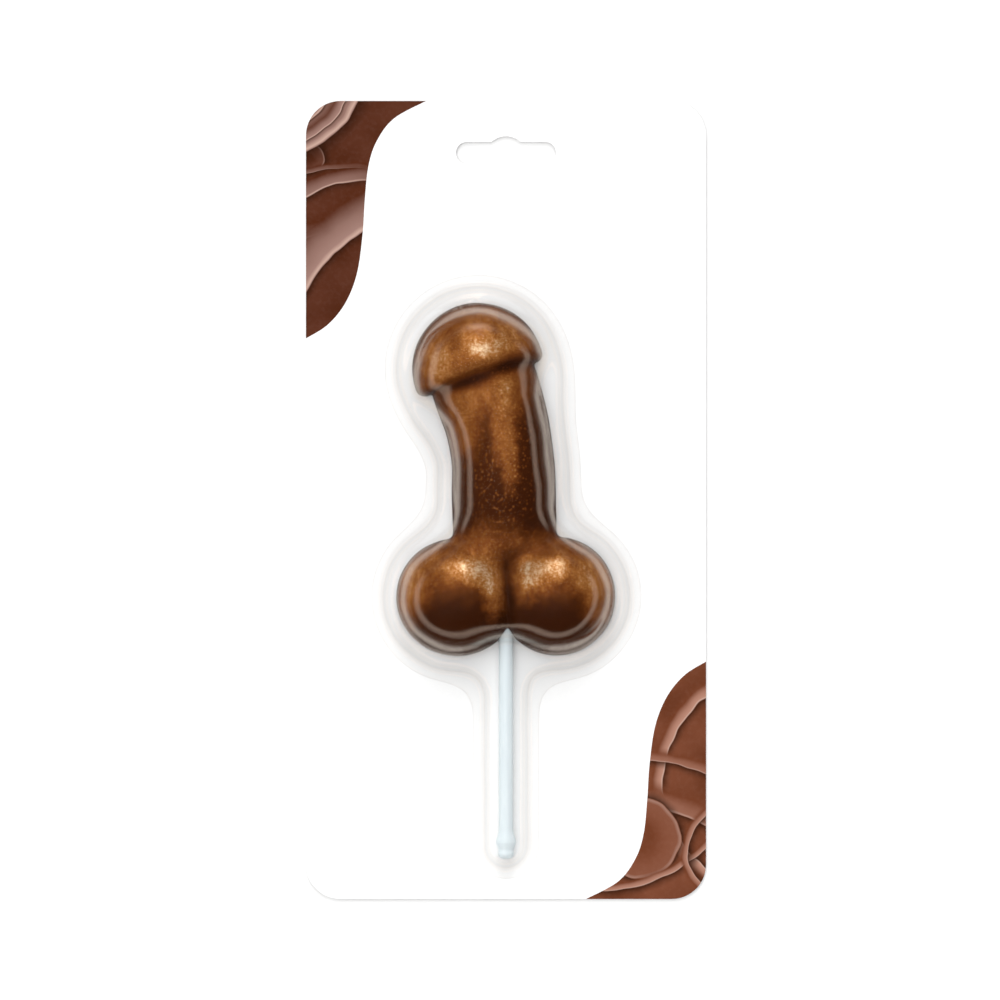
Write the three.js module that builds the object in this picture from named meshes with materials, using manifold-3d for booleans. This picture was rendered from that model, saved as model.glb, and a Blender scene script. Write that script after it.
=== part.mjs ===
import * as THREE from 'three';
import { mergeVertices } from 'three/addons/utils/BufferGeometryUtils.js';
import Module from 'manifold-3d';

// A moulded chocolate lollipop in its carded blister pack, lying on its back.
// Millimetres. X runs across the card, Y along it towards the hang slot, and Z up from the card's back face.
// The chocolate is a flat-backed moulding: two round lobes, a column that leans over, and a domed crown.

const wasm = await Module();
wasm.setup();
const { Manifold, Mesh: SolidMesh } = wasm;

// Card
const cardWidth = 100;
const cardLength = 199.5;
const cardThickness = 0.8;
const cardCornerRadius = 8.6;
const slotWidth = 25;
const slotHeight = 5.5;
const slotCentreY = 86.75;
const slotBumpRadius = 5.3;
const slotBumpRise = 1.4;

// Gap between neighbouring pieces
const gap = 0.3;

// Chocolate
const chocolateBack = cardThickness + gap;
const lobes = [
  { x: -12.2, y: -24.25, halfWidth: 15.2, halfLength: 14.7, rise: 15.8 },
  { x: 12.6, y: -24.0, halfWidth: 14.7, halfLength: 14.8, rise: 15.6 },
];
const columnStations = [
  { x: -0.3, y: -9.5, halfWidth: 12.9, rise: 11.2 },
  { x: -0.4, y: -4.5, halfWidth: 13.0, rise: 12.7 },
  { x: -0.6, y: 2, halfWidth: 13.0, rise: 14.1 },
  { x: -0.8, y: 10, halfWidth: 12.8, rise: 14.4 },
  { x: -2.3, y: 19, halfWidth: 12.9, rise: 14.4 },
  { x: -4.7, y: 27, halfWidth: 13.3, rise: 14.4 },
  { x: -6.8, y: 33, halfWidth: 13.0, rise: 14.2 },
];
const columnEndLength = 8;
const crownCentre = new THREE.Vector2(-6.95, 32.75);
const crownRadius = 16.5;
const crownTilt = THREE.MathUtils.degToRad(17);
const crownRise = 16.8;
const crownPeak = 1.2;
const crownEdge = -0.6;
const crownEdgeBow = 3.2;
const crownEdgeRoll = 3.2;
const skirtHeight = 1.5;

// Stick
const stickRadius = 1.8;
const stickCollarRadius = 2.5;
const stickEndY = -89.6;
const stickSocketDepth = 20;
const stickZ = chocolateBack + 2.6;
const crotchY = -32.1;

// Blister
const filmThickness = 0.4;
const cavityClearance = 0.9;
const ledgeTop = stickZ + stickCollarRadius + gap + filmThickness;
const ledgeFootOffset = 4.0;
const ledgeShoulderOffset = 3.1;
const ledgeEdgeOffset = 2.2;
const ledgeShoulderDrop = 1.4;
const flangeOffset = 6.5;
const bodyBlend = 7;
const channelBlend = 9;
const channelEndRoom = 1.4;

// How finely curves are cut, at a detail of 1
const facets = {
  lobeRise: 9,
  lobeRound: 36,
  columnArch: 18,
  columnLength: 11,
  columnEnd: 5,
  crownArch: 24,
  crownRoll: 3,
  crownDome: 10,
  socketRound: 24,
  stickRound: 20,
  cardCorner: 12,
};
const chocolateDetail = 1.15;
const cavityDetail = 0.9;
const weldDistance = 1e-4;

// One closed solid from a stack of equal rings, each running anticlockwise as seen from the last ring's end.
function skin(rings) {
  const count = rings[0].length;
  const points = rings.flat();
  const triangles = [];
  for (let r = 0; r + 1 < rings.length; r++) {
    for (let i = 0; i < count; i++) {
      const a = r * count + i;
      const b = r * count + ((i + 1) % count);
      triangles.push(a, b, b + count, a, b + count, a + count);
    }
  }
  const firstFaces = endFaces(rings[0]);
  const lastFaces = endFaces(rings[rings.length - 1]);
  const lastStart = (rings.length - 1) * count;
  for (const [a, b, c] of firstFaces) triangles.push(a, c, b);
  for (const [a, b, c] of lastFaces) triangles.push(lastStart + a, lastStart + b, lastStart + c);
  return solidFrom(points.flatMap((p) => [p.x, p.y, p.z]), triangles);
}

// Triangles over one ring, wound like the ring.
function endFaces(ring) {
  const centre = ring.reduce((sum, p) => sum.add(p), new THREE.Vector3()).divideScalar(ring.length);
  const normal = new THREE.Vector3();
  ring.forEach((p, i) => {
    const next = ring[(i + 1) % ring.length];
    normal.add(p.clone().sub(centre).cross(next.clone().sub(centre)));
  });
  normal.normalize();
  const across = ring[0].clone().sub(centre).normalize();
  const up = normal.clone().cross(across);
  const flat = ring.map((p) => {
    const arm = p.clone().sub(centre);
    return new THREE.Vector2(arm.dot(across), arm.dot(up));
  });
  return THREE.ShapeUtils.triangulateShape(flat, []);
}

function solidFrom(positions, triangles) {
  return new Manifold(new SolidMesh({
    numProp: 3,
    vertProperties: new Float32Array(positions),
    triVerts: new Uint32Array(triangles),
  }));
}

function solidFromGeometry(geometry) {
  const bare = geometry.clone();
  bare.deleteAttribute('normal');
  bare.deleteAttribute('uv');
  const merged = mergeVertices(bare, weldDistance);
  return solidFrom(merged.attributes.position.array, merged.index.array);
}

function geometryFromSolid(solid) {
  const mesh = solid.getMesh();
  const geometry = new THREE.BufferGeometry();
  geometry.setAttribute('position', new THREE.BufferAttribute(mesh.vertProperties, 3));
  geometry.setIndex(new THREE.BufferAttribute(mesh.triVerts, 1));
  geometry.computeVertexNormals();
  return geometry;
}

// A flat-bottomed arch: short upright walls and an elliptical top. It stands on base, across direction.
function archRing(centre, direction, halfWidth, rise, base, arcSteps) {
  const side = new THREE.Vector2(direction.y, -direction.x);
  const place = (across, height) => new THREE.Vector3(
    centre.x + side.x * across,
    centre.y + side.y * across,
    height,
  );
  const wallTop = chocolateBack + skirtHeight;
  const leastRise = 0.05;
  const archRise = Math.max(rise - skirtHeight, leastRise);
  const ring = [];
  for (let i = 0; i <= arcSteps; i++) {
    const angle = (Math.PI * i) / arcSteps;
    ring.push(place(-halfWidth * Math.cos(angle), wallTop + archRise * Math.sin(angle)));
  }
  ring.push(place(halfWidth, base));
  ring.push(place(-halfWidth, base));
  return ring;
}

// A round lobe: upright wall, then a quarter ellipse up to its top.
function lobe({ x, y, halfWidth, halfLength, rise }, grow, base, detail) {
  const arcSteps = Math.round(facets.lobeRise * detail);
  const turnSteps = Math.round(facets.lobeRound * detail);
  const wallTop = chocolateBack + skirtHeight;
  const archRise = rise + grow - skirtHeight;
  const profile = [new THREE.Vector2(0, base), new THREE.Vector2(1, base)];
  for (let i = 0; i < arcSteps; i++) {
    const angle = (Math.PI / 2) * (i / arcSteps);
    profile.push(new THREE.Vector2(Math.cos(angle), wallTop + archRise * Math.sin(angle)));
  }
  profile.push(new THREE.Vector2(0, wallTop + archRise));
  const geometry = new THREE.LatheGeometry(profile, turnSteps);
  geometry.rotateX(Math.PI / 2);
  geometry.scale(halfWidth + grow, halfLength + grow, 1);
  geometry.translate(x, y, 0);
  return solidFromGeometry(geometry);
}

// A smooth curve through one value of each column station, which getPoint gives as x.
function stationCurve(valueOf) {
  const points = columnStations.map((station) => new THREE.Vector2(valueOf(station), station.y));
  return new THREE.SplineCurve(points);
}

const spineCurve = stationCurve(({ x }) => x);
const halfWidthCurve = stationCurve(({ halfWidth }) => halfWidth);
const riseCurve = stationCurve(({ rise }) => rise);

// The column: arches along the spine, with a rounded lower end between the lobes.
function column(grow, base, detail) {
  const arcSteps = Math.round(facets.columnArch * detail);
  const spineSteps = Math.round(facets.columnLength * detail);
  const endSteps = Math.round(facets.columnEnd * detail);
  const rings = [];
  const start = spineCurve.getPoint(0);
  const heading = spineCurve.getTangent(0);
  const { halfWidth: startHalfWidth, rise: startRise } = columnStations[0];
  for (let i = 1; i <= endSteps; i++) {
    const angle = (Math.PI / 2) * (i / (endSteps + 1));
    const centre = start.clone().addScaledVector(heading, -(columnEndLength + grow) * Math.cos(angle));
    const share = Math.sin(angle);
    const rise = skirtHeight + (startRise + grow - skirtHeight) * share;
    rings.push(archRing(centre, heading, (startHalfWidth + grow) * share, rise, base, arcSteps));
  }
  for (let i = 0; i <= spineSteps; i++) {
    const t = i / spineSteps;
    const halfWidth = halfWidthCurve.getPoint(t).x + grow;
    const rise = riseCurve.getPoint(t).x + grow;
    rings.push(archRing(spineCurve.getPoint(t), spineCurve.getTangent(t), halfWidth, rise, base, arcSteps));
  }
  return skin(rings);
}

// The crown's half width and rise at a distance along its axis from its centre.
function crownHalfWidthAt(along, grow) {
  const radius = crownRadius + grow;
  return Math.sqrt(Math.max(radius * radius - along * along, 0));
}

function crownRiseAt(along, grow) {
  const reach = crownRadius + grow - crownPeak;
  const share = Math.min(Math.max((along - crownPeak) / reach, 0), 1);
  return skirtHeight + (crownRise + grow - skirtHeight) * Math.sqrt(1 - share * share);
}

// The crown: arches along its own tilted axis. Its lower edge is rolled and bows back at the sides.
function crown(grow, base, detail) {
  const arcSteps = Math.round(facets.crownArch * detail);
  const rollSteps = Math.round(facets.crownRoll * detail);
  const domeSteps = Math.round(facets.crownDome * detail);
  const axis = new THREE.Vector2(-Math.sin(crownTilt), Math.cos(crownTilt));
  const edge = crownEdge - grow;
  const roll = crownEdgeRoll + grow;
  const stations = [];
  for (let i = 0; i <= rollSteps; i++) {
    const angle = (Math.PI / 2) * (i / rollSteps);
    stations.push({ along: edge + roll * (1 - Math.cos(angle)), inset: roll * (1 - Math.sin(angle)) });
  }
  const domeStart = Math.asin((edge + roll) / (crownRadius + grow));
  const domeEnd = THREE.MathUtils.degToRad(88); // short of the tip, so the last ring keeps a width
  for (let i = 1; i <= domeSteps; i++) {
    const angle = THREE.MathUtils.lerp(domeStart, domeEnd, i / domeSteps);
    stations.push({ along: (crownRadius + grow) * Math.sin(angle), inset: 0 });
  }
  const bowReach = crownRadius / 2;
  const rings = stations.map(({ along, inset }) => {
    const centre = crownCentre.clone().addScaledVector(axis, along);
    const halfWidth = crownHalfWidthAt(along, grow) - inset;
    const ring = archRing(centre, axis, halfWidth, crownRiseAt(along, grow) - inset, base, arcSteps);
    const bow = crownEdgeBow * Math.max(1 - (along - edge) / bowReach, 0);
    for (const point of ring) {
      const across = (point.x - centre.x) * axis.y - (point.y - centre.y) * axis.x;
      const shift = -bow * (across / crownRadius) ** 2;
      point.x += axis.x * shift;
      point.y += axis.y * shift;
    }
    return ring;
  });
  return skin(rings);
}

// The whole moulding's form, grown outwards by grow and standing on base.
function mouldedForm(grow, base, detail) {
  const [left, right] = lobes.map((size) => lobe(size, grow, base, detail));
  return left.add(right).add(column(grow, base, detail)).add(crown(grow, base, detail));
}

// A round rod along Y.
function rod(radius, fromY, toY, z) {
  const geometry = new THREE.CylinderGeometry(radius, radius, toY - fromY, facets.socketRound);
  geometry.translate(0, (fromY + toY) / 2, z);
  return solidFromGeometry(geometry);
}

function chocolateGeometry() {
  const socket = rod(stickRadius + gap, stickEndY, crotchY + stickSocketDepth, stickZ);
  return geometryFromSolid(mouldedForm(0, chocolateBack, chocolateDetail).subtract(socket));
}

// A plain round stick whose lower end has a flared collar, a waist and a rounded tip.
function stickGeometry() {
  // Radius and height up from the tip
  const collar = [
    [0, 0],
    [1.3, 0.25],
    [2.0, 0.9],
    [2.1, 1.5],
    [1.9, 2.3],
    [2.25, 3.2],
    [stickCollarRadius, 4.1],
    [2.3, 5.1],
    [1.92, 6.2],
    [stickRadius, 7.4],
  ];
  const topEnd = crotchY + stickSocketDepth - gap - stickEndY;
  const profile = collar.map(([radius, height]) => new THREE.Vector2(radius, height));
  profile.push(new THREE.Vector2(stickRadius, topEnd), new THREE.Vector2(0, topEnd));
  return new THREE.LatheGeometry(profile, facets.stickRound);
}

// Smooth union of two distances, with a fillet of about that width where they cross.
function blend(a, b, width) {
  const share = Math.max(width - Math.abs(a - b), 0) / width;
  return Math.min(a, b) - (share * share * width) / 4;
}

function distanceToSegment(p, a, b) {
  const along = b.clone().sub(a);
  const t = THREE.MathUtils.clamp(p.clone().sub(a).dot(along) / along.lengthSq(), 0, 1);
  return { distance: p.distanceTo(a.clone().addScaledVector(along, t)), t };
}

const spineSpans = 24;
const spineSamples = spineCurve.getPoints(spineSpans);

function distanceToColumn(p) {
  let best = Infinity;
  for (let i = 0; i + 1 < spineSamples.length; i++) {
    const { distance, t } = distanceToSegment(p, spineSamples[i], spineSamples[i + 1]);
    const halfWidth = halfWidthCurve.getPoint((i + t) / spineSpans).x;
    best = Math.min(best, distance - halfWidth);
  }
  return best;
}

// Distance outside the lollipop's outline as seen from the front, with rounded inner corners.
function outlineDistance(p) {
  const stickTop = new THREE.Vector2(0, crotchY);
  const stickFoot = new THREE.Vector2(0, stickEndY + stickRadius + channelEndRoom);
  const stickDistance = distanceToSegment(p, stickTop, stickFoot).distance - stickRadius;
  const lobeDistance = Math.min(...lobes.map(({ x, y, halfWidth, halfLength }) => (
    Math.hypot(p.x - x, p.y - y) - (halfWidth + halfLength) / 2
  )));
  const crownDistance = p.distanceTo(crownCentre) - crownRadius;
  const body = blend(Math.min(lobeDistance, crownDistance), distanceToColumn(p), bodyBlend);
  return blend(body, stickDistance, channelBlend);
}

function outlineSlope(p) {
  const step = 0.01;
  return new THREE.Vector2(
    outlineDistance(new THREE.Vector2(p.x + step, p.y)) - outlineDistance(new THREE.Vector2(p.x - step, p.y)),
    outlineDistance(new THREE.Vector2(p.x, p.y + step)) - outlineDistance(new THREE.Vector2(p.x, p.y - step)),
  ).divideScalar(2 * step);
}

// Moves a point along the slope until it lies at that distance outside the outline.
function moveToOffset(p, offset) {
  const moved = p.clone();
  const rounds = 6;
  for (let i = 0; i < rounds; i++) {
    const slope = outlineSlope(moved);
    moved.addScaledVector(slope, (offset - outlineDistance(moved)) / slope.lengthSq());
  }
  return moved;
}

// Walks once round the outline at an offset. Straight stretches keep no points and bends keep many.
function walkOutline(offset) {
  const stride = 0.8;
  const turnPerPoint = THREE.MathUtils.degToRad(9);
  const start = moveToOffset(new THREE.Vector2(0, stickEndY - offset), offset);
  const kept = [start];
  let here = start;
  let keptHeading = null;
  const longestWalk = 4 * cardLength;
  for (let travelled = 0; travelled < longestWalk; travelled += stride) {
    const slope = outlineSlope(here).normalize();
    const heading = Math.atan2(slope.x, -slope.y);
    keptHeading ??= heading;
    const turn = Math.abs(Math.atan2(Math.sin(heading - keptHeading), Math.cos(heading - keptHeading)));
    if (turn > turnPerPoint) {
      kept.push(here);
      keptHeading = heading;
    }
    const ahead = new THREE.Vector2(-slope.y, slope.x);
    here = moveToOffset(here.clone().addScaledVector(ahead, stride), offset);
    if (travelled > 10 * stride && here.distanceTo(start) < stride) break;
  }
  return kept;
}

const ledgeOutline = walkOutline(ledgeShoulderOffset);

// One ring of the ledge, at an offset from the lollipop's outline and at a height.
function ledgeRing(offset, z) {
  return ledgeOutline.map((p) => {
    const moved = moveToOffset(p, offset);
    return new THREE.Vector3(moved.x, moved.y, z);
  });
}

// The ledge round the lollipop and the channel over the stick: a sloping foot, a shoulder and a flat top.
function ledge(grow, base) {
  const top = ledgeTop + grow;
  return skin([
    ledgeRing(ledgeFootOffset + grow, base),
    ledgeRing(ledgeFootOffset + grow, chocolateBack + filmThickness),
    ledgeRing(ledgeShoulderOffset + grow, top - ledgeShoulderDrop),
    ledgeRing(ledgeEdgeOffset + grow, top),
  ]);
}

// The clear shell: a sealing flange, the ledge and the cavity over the moulding, open at the back.
function blisterGeometry() {
  const rim = walkOutline(flangeOffset);
  const flange = skin([chocolateBack, chocolateBack + filmThickness].map((z) => (
    rim.map((p) => new THREE.Vector3(p.x, p.y, z))
  )));
  const cutThrough = 1;
  const below = chocolateBack - cutThrough;
  const outside = ledge(0, chocolateBack)
    .add(mouldedForm(cavityClearance + filmThickness, chocolateBack, cavityDetail))
    .add(flange);
  const inside = ledge(-filmThickness, below).add(mouldedForm(cavityClearance, below, cavityDetail));
  return geometryFromSolid(outside.subtract(inside));
}

// The hang slot: round ends, with a low bump in the middle of its upper edge.
function slotPath() {
  const endRadius = slotHeight / 2;
  const endX = slotWidth / 2 - endRadius;
  const bumpCentreY = slotCentreY + endRadius + slotBumpRise - slotBumpRadius;
  const bumpAngle = Math.acos((slotBumpRadius - slotBumpRise) / slotBumpRadius);
  const path = new THREE.Path();
  path.moveTo(-endX, slotCentreY - endRadius);
  path.lineTo(endX, slotCentreY - endRadius);
  path.absarc(endX, slotCentreY, endRadius, -Math.PI / 2, Math.PI / 2, false);
  path.absarc(0, bumpCentreY, slotBumpRadius, Math.PI / 2 - bumpAngle, Math.PI / 2 + bumpAngle, false);
  path.absarc(-endX, slotCentreY, endRadius, Math.PI / 2, (3 * Math.PI) / 2, false);
  return path;
}

function cardGeometry() {
  const right = cardWidth / 2;
  const top = cardLength / 2;
  const radius = cardCornerRadius;
  const outline = new THREE.Shape();
  outline.absarc(right - radius, top - radius, radius, 0, Math.PI / 2, false);
  outline.absarc(radius - right, top - radius, radius, Math.PI / 2, Math.PI, false);
  outline.absarc(radius - right, radius - top, radius, Math.PI, (3 * Math.PI) / 2, false);
  outline.absarc(right - radius, radius - top, radius, (3 * Math.PI) / 2, 2 * Math.PI, false);
  outline.holes.push(slotPath());
  return new THREE.ExtrudeGeometry(outline, {
    depth: cardThickness,
    bevelEnabled: false,
    curveSegments: facets.cardCorner,
  });
}

function material(color, roughness, metalness, opacity = 1) {
  return new THREE.MeshStandardMaterial({ color, roughness, metalness, opacity, transparent: opacity < 1 });
}

function piece(name, geometry, look) {
  const mesh = new THREE.Mesh(geometry, look);
  mesh.name = name;
  return mesh;
}

const pack = new THREE.Group();
pack.add(piece('backing_card', cardGeometry(), material(0xfafafa, 0.45, 0)));
pack.add(piece('chocolate', chocolateGeometry(), material(0x6b3a16, 0.35, 0.3)));

const stick = piece('stick', stickGeometry(), material(0xe6eff4, 0.4, 0));
stick.position.set(0, stickEndY, stickZ);
pack.add(stick);

pack.add(piece('blister', blisterGeometry(), material(0xf2f7f8, 0.08, 0, 0.3)));

export default pack;
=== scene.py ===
import math

import bpy
import numpy as np
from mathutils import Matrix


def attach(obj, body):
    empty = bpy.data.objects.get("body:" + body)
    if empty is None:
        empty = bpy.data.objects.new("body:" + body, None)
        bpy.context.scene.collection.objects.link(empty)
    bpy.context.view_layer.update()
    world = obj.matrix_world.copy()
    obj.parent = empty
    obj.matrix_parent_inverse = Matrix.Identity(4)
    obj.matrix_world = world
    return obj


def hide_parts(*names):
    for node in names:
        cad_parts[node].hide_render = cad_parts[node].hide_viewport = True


# A moulded chocolate lollipop in its carded blister pack, lying on its back and seen straight from above.
# Sizes are in millimetres, as in the CAD model, and meshes are written in metres.
# X runs across the card, Y along it towards the hang slot, and Z up from its back face.

MM = 0.001

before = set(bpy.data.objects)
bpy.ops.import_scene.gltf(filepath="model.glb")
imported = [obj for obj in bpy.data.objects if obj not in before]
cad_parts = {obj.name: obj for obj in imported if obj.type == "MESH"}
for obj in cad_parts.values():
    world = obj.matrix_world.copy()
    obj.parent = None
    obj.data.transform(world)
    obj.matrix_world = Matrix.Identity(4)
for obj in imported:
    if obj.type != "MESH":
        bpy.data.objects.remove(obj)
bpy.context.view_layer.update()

# Photograph
PHOTO_PIXELS = 1000
MM_PER_PIXEL = 0.25
PHOTO_CENTRE_X = -1.5
CAMERA_DISTANCE = 3000
SENSOR_WIDTH = 36

# Card
CARD_HALF_WIDTH = 50
CARD_HALF_LENGTH = 99.75
CARD_TOP = 0.8
CARD_CORNER_RADIUS = 8.6

# Chocolate: two lobes, a leaning column and a domed crown on a short upright skirt
CHOCOLATE_BACK = 1.1
CHOCOLATE_SEAT = CARD_TOP + 0.02
SKIRT_HEIGHT = 1.5
SEAT_ROUNDING = 0.8
CHOCOLATE_WAVES = 0.08
CHOCOLATE_WAVE_LENGTH = 9
CHOCOLATE_WAVE_SEED = 0.4
WALL_TOP = CHOCOLATE_BACK + SKIRT_HEIGHT
LOBES = [
    {"x": -12.2, "y": -24.25, "half_width": 15.2, "half_length": 14.7, "rise": 15.8},
    {"x": 12.6, "y": -24.0, "half_width": 14.7, "half_length": 14.8, "rise": 15.6},
]
COLUMN_STATIONS = [
    {"x": -0.3, "y": -9.5, "half_width": 12.9, "rise": 11.2},
    {"x": -0.4, "y": -4.5, "half_width": 13.0, "rise": 12.7},
    {"x": -0.6, "y": 2, "half_width": 13.0, "rise": 14.1},
    {"x": -0.8, "y": 10, "half_width": 12.8, "rise": 14.4},
    {"x": -2.3, "y": 19, "half_width": 12.9, "rise": 14.4},
    {"x": -4.7, "y": 27, "half_width": 13.3, "rise": 14.4},
    {"x": -6.8, "y": 33, "half_width": 13.0, "rise": 14.2},
]
COLUMN_END_LENGTH = 8
CROWN_X = -6.95
CROWN_Y = 32.75
CROWN_RADIUS = 16.5
CROWN_TILT = math.radians(17)
CROWN_RISE = 16.8
CROWN_PEAK = 1.2
CROWN_EDGE = -0.6
CROWN_EDGE_BOW = 3.2
CROWN_EDGE_ROLL = 3.2

# Stick
STICK_RADIUS = 1.8
STICK_COLLAR_RADIUS = 2.5
STICK_END_Y = -89.6
STICK_Z = CHOCOLATE_BACK + 2.6
CROTCH_Y = -32.1
STICK_SOCKET_DEPTH = 20
STICK_TOP_ROOM = 0.3
SOCKET_ROOM = 0.05
SOCKET_ROUNDING = 0.5
STICK_SIDES = 48
# The stick's foot as (radius, along): a rounded tip, a waist and a flared collar
STICK_FOOT = [
    (0, 0), (0.9, 0.08), (1.5, 0.35), (1.9, 0.85), (2.02, 1.4), (1.92, 1.95), (1.95, 2.4), (2.25, 3.2),
    (STICK_COLLAR_RADIUS - 0.03, 3.9), (STICK_COLLAR_RADIUS, 4.2), (2.42, 4.8), (2.15, 5.6),
    (1.95, 6.3), (1.84, 7.0), (STICK_RADIUS, 7.8),
]
STICK_FOOT_SAMPLES = 60
STICK_SHAFT_START = 10
STICK_SHAFT_SAMPLES = 40

# Blister film
FILM_THICKNESS = 0.35
FILM_SEAT = CARD_TOP + 0.02
CAVITY_CLEARANCE = 0.45
# Fillet widths at the foot and at the top: between the lobes, between lobes and column, and under the crown.
# The last value is the height over which they change.
CHOCOLATE_FILLETS = {"valley": (0.9, 0.9), "waist": (1.5, 5.0), "neck": (0.9, 0.9), "reach": 10}
CAVITY_FILLETS = {"valley": (5.0, 14.0), "waist": (5.0, 14.0), "neck": (12.0, 5.5), "reach": 15}
LEDGE_TOP = 6.9
LEDGE_FOOT_OFFSET = 4.0
LEDGE_WALL_SLOPE = 0.24
LEDGE_SHOULDER_RADIUS = 2.6
FLANGE_OFFSET = 6.5
BODY_BLEND = 7
CHANNEL_BLEND = 9
CHANNEL_END_ROOM = 1.4
CAVITY_FOOT_FILLET = 1.8
FLANGE_FILLET = 3.0
FILM_WAVES = 0.13
FILM_WAVE_LENGTH = 10
FILM_WAVE_SEED = 2.2

# Soft lumps: how many waves are added, how each turns and lengthens from the last, how it leans and shifts
WAVE_COUNT = 4
WAVE_TURN = 1.9
WAVE_GROWTH = 0.23
WAVE_LEAN = 0.6
WAVE_LEAN_TURN = 3.1
WAVE_SHIFT = 5.3

# Meshes: cell sizes, and the boxes that the surfaces are looked for in
CHOCOLATE_CELL = 0.5
CHOCOLATE_LOW = (-30, -42, CHOCOLATE_SEAT - 1.2)
CHOCOLATE_HIGH = (30, 52, 19.5)
FILM_CELL = 0.6
FILM_LOW = (-37, -99, FILM_SEAT - 1.5)
FILM_HIGH = (37, 59, 20.5)
SLOPE_STEP = 0.02
SURFACE_PASSES = 3
RIM_PASSES = 4
LEAST_STEEPNESS = 0.2


# Curves and fields

def catmull_rom(values, samples):
    """A smooth curve through the rows of values, sampled evenly in its parameter."""
    rows = np.asarray(values, dtype=float)
    last = len(rows) - 1
    place = np.linspace(0, last, samples)
    index = np.minimum(place.astype(int), last - 1)
    t = (place - index)[:, None]
    before = rows[np.maximum(index - 1, 0)]
    a = rows[index]
    b = rows[index + 1]
    after = rows[np.minimum(index + 2, last)]
    leave = (b - before) / 2
    arrive = (after - a) / 2
    cubic = 2 * a - 2 * b + leave + arrive
    square = -3 * a + 3 * b - 2 * leave - arrive
    return ((cubic * t + square) * t + leave) * t + a


SPINE_SAMPLES = 60
SPINE = catmull_rom([[s["x"], s["y"], s["half_width"], s["rise"]] for s in COLUMN_STATIONS], SPINE_SAMPLES)


def smooth_min(a, b, width):
    """Joins two fields, with a fillet of about that width where they cross."""
    share = np.maximum(width - np.abs(a - b), 0) / width
    return np.minimum(a, b) - share * share * width / 4


def smooth_max(a, b, width):
    return -smooth_min(-a, -b, width)


def along_spine(x, y):
    """How far points lie across the column and beyond its two ends, with its half width and rise there."""
    nearest = np.full(np.shape(x + y), np.inf)
    across = np.zeros_like(nearest)
    beyond = np.zeros_like(nearest)
    half_width = np.ones_like(nearest)
    rise = np.ones_like(nearest)
    last = len(SPINE) - 2
    for i, (a, b) in enumerate(zip(SPINE[:-1], SPINE[1:])):
        run_x, run_y = b[:2] - a[:2]
        length = math.hypot(run_x, run_y)
        t = ((x - a[0]) * run_x + (y - a[1]) * run_y) / length**2
        held = np.clip(t, 0, 1)
        away = np.hypot(x - a[0] - held * run_x, y - a[1] - held * run_y)
        closer = away < nearest
        nearest = np.where(closer, away, nearest)
        side = np.abs((x - a[0]) * run_y - (y - a[1]) * run_x) / length
        before_start = np.minimum(t, 0) * length if i == 0 else 0 * t
        after_end = np.maximum(t - 1, 0) * length if i == last else 0 * t
        over = before_start + after_end
        across = np.where(closer, np.where(over != 0, side, away), across)
        beyond = np.where(closer, over, beyond)
        half_width = np.where(closer, a[2] + held * (b[2] - a[2]), half_width)
        rise = np.where(closer, a[3] + held * (b[3] - a[3]), rise)
    return across, beyond, half_width, rise


def above_wall(z):
    return np.maximum(z - WALL_TOP, 0)


def lobe_field(x, y, z, lobe):
    across = (x - lobe["x"]) / lobe["half_width"]
    along = (y - lobe["y"]) / lobe["half_length"]
    up = above_wall(z) / (lobe["rise"] - SKIRT_HEIGHT)
    radius = (lobe["half_width"] + lobe["half_length"]) / 2
    return (np.sqrt(across**2 + along**2 + up**2) - 1) * radius


def column_field(x, y, z):
    across, beyond, half_width, rise = along_spine(x, y)
    up = above_wall(z) / (rise - SKIRT_HEIGHT)
    return (np.sqrt((across / half_width) ** 2 + (beyond / COLUMN_END_LENGTH) ** 2 + up**2) - 1) * half_width


def crown_field(x, y, z):
    """A dome on a round plan, higher towards its lower edge, which is rolled and bows back at the sides."""
    sine = math.sin(CROWN_TILT)
    cosine = math.cos(CROWN_TILT)
    along = -(x - CROWN_X) * sine + (y - CROWN_Y) * cosine
    across = (x - CROWN_X) * cosine + (y - CROWN_Y) * sine
    plan = 1 - (along / CROWN_RADIUS) ** 2
    share = np.clip((along - CROWN_PEAK) / (CROWN_RADIUS - CROWN_PEAK), 0, 0.999)
    fall = np.clip(plan, 0.001, None) / (1 - share**2)
    up = above_wall(z) / (CROWN_RISE - SKIRT_HEIGHT)
    level = (across / CROWN_RADIUS) ** 2 + 1 - plan + up**2 * fall
    dome = (np.sqrt(level) - 1) * CROWN_RADIUS
    edge = CROWN_EDGE - along - CROWN_EDGE_BOW * (across / CROWN_RADIUS) ** 2
    outer_a = np.maximum(dome + CROWN_EDGE_ROLL, 0)
    outer_b = np.maximum(edge + CROWN_EDGE_ROLL, 0)
    return np.minimum(np.maximum(dome, edge), -CROWN_EDGE_ROLL) + np.hypot(outer_a, outer_b)


def moulding_field(x, y, z, fillets=CHOCOLATE_FILLETS):
    """The whole moulding. Its three joints have fillets whose widths change from the foot to the top."""
    height_share = np.clip((z - WALL_TOP) / fillets["reach"], 0, 1)
    valley, waist, neck = [
        fillets[joint][0] + (fillets[joint][1] - fillets[joint][0]) * height_share
        for joint in ("valley", "waist", "neck")
    ]
    left, right = [lobe_field(x, y, z, lobe) for lobe in LOBES]
    body = smooth_min(smooth_min(left, right, valley), column_field(x, y, z), waist)
    return smooth_min(body, crown_field(x, y, z), neck)


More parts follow.
